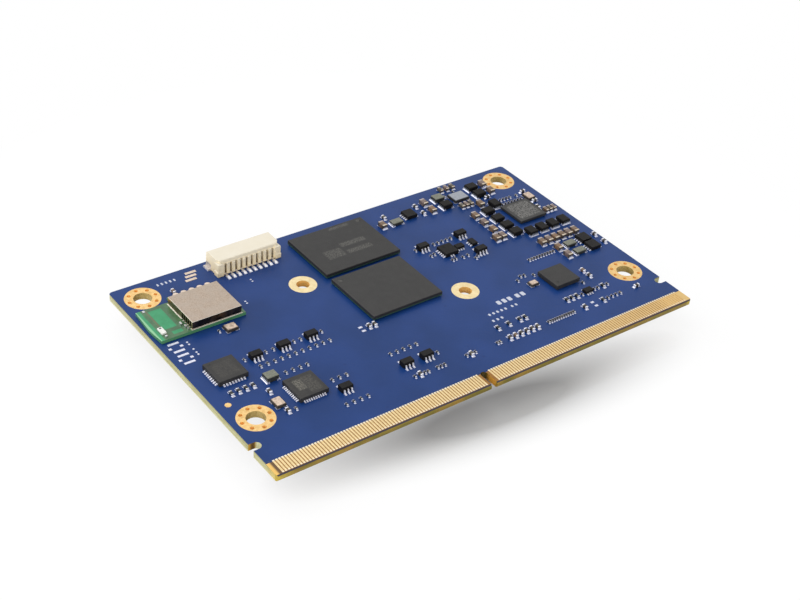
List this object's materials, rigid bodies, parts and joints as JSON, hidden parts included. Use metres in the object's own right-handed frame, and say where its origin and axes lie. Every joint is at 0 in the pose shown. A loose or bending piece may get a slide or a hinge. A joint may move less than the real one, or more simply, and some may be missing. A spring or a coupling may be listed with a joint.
{
  "type": "system on module",
  "caption": "Small blue computer board with a double-sided edge contact row, key slot, corner holes, cream wire header, shielded radio board and two large chips.",
  "frame": {"origin": "centre of the board's outline, on its underside", "axes": "+X along the contact edge, -Y towards the contact edge, +Z out of the face that carries the parts"},
  "size_m": [0.082, 0.05, 0.0041],
  "materials": {
    "blue_board": "glossy blue solder mask over laminate",
    "gold": "gold plated copper",
    "tin": "bright tin",
    "moulded_black": "matt moulded compound",
    "green_board": "glossy green solder mask over laminate",
    "cream_plastic": "satin moulded plastic",
    "sheet_metal": "satin sheet metal",
    "white_ceramic": "fired white ceramic",
    "brown_ceramic": "fired brown ceramic",
    "black_ceramic": "black glazed film",
    "dark_ferrite": "pressed dark ferrite",
    "grey_ferrite": "pressed grey ferrite",
    "silicon": "bare silicon",
    "dark_ceramic": "fired dark ceramic",
    "tan_lid": "satin plated lid",
    "grey_lid": "satin plated lid"
  },
  "bodies": {
    "root": {"circuit_board": "blue_board", "top_contacts": "gold", "under_contacts": "gold", "corner_hole_plating": "gold", "cooler_hole_plating": "gold", "target_dot": "gold", "spare_lands": "tin", "part_lands": "tin", "header_housing": "cream_plastic", "header_contacts": "tin", "header_anchors": "tin", "radio_board": "green_board", "radio_solder": "tin", "radio_shield": "sheet_metal", "radio_antenna": "white_ceramic", "radio_inner_chip": "moulded_black", "radio_small_parts": "tin", "processor_base": "green_board", "processor_die": "silicon", "processor_cover": "moulded_black", "processor_balls": "tin", "memory_base": "green_board", "memory_die": "silicon", "memory_cover": "moulded_black", "memory_balls": "tin", "power_chip_body": "moulded_black", "power_chip_balls": "tin", "network_chip_body": "moulded_black", "network_chip_balls": "tin", "sound_chip_body": "moulded_black", "sound_chip_leads": "tin", "link_chip_body": "moulded_black", "link_chip_leads": "tin", "shift_chip_body": "moulded_black", "shift_chip_leads": "tin", "six_lead_bodies": "moulded_black", "six_lead_leads": "tin", "eight_lead_bodies": "moulded_black", "eight_lead_leads": "tin", "tiny_chip_bodies": "moulded_black", "tiny_chip_leads": "tin", "power_coil_bodies": "dark_ferrite", "dark_coil_bodies": "dark_ferrite", "grey_coil_bodies": "grey_ferrite", "coil_ends": "tin", "large_cap_bodies": "brown_ceramic", "medium_cap_bodies": "brown_ceramic", "small_cap_bodies": "brown_ceramic", "cap_ends": "tin", "resistor_bodies": "black_ceramic", "resistor_ends": "tin", "grain_bodies": "dark_ceramic", "grain_ends": "tin", "crystal_bases": "dark_ceramic", "crystal_lids": "tan_lid", "oscillator_base": "dark_ceramic", "oscillator_lid": "grey_lid"}
  },
  "joints": []
}
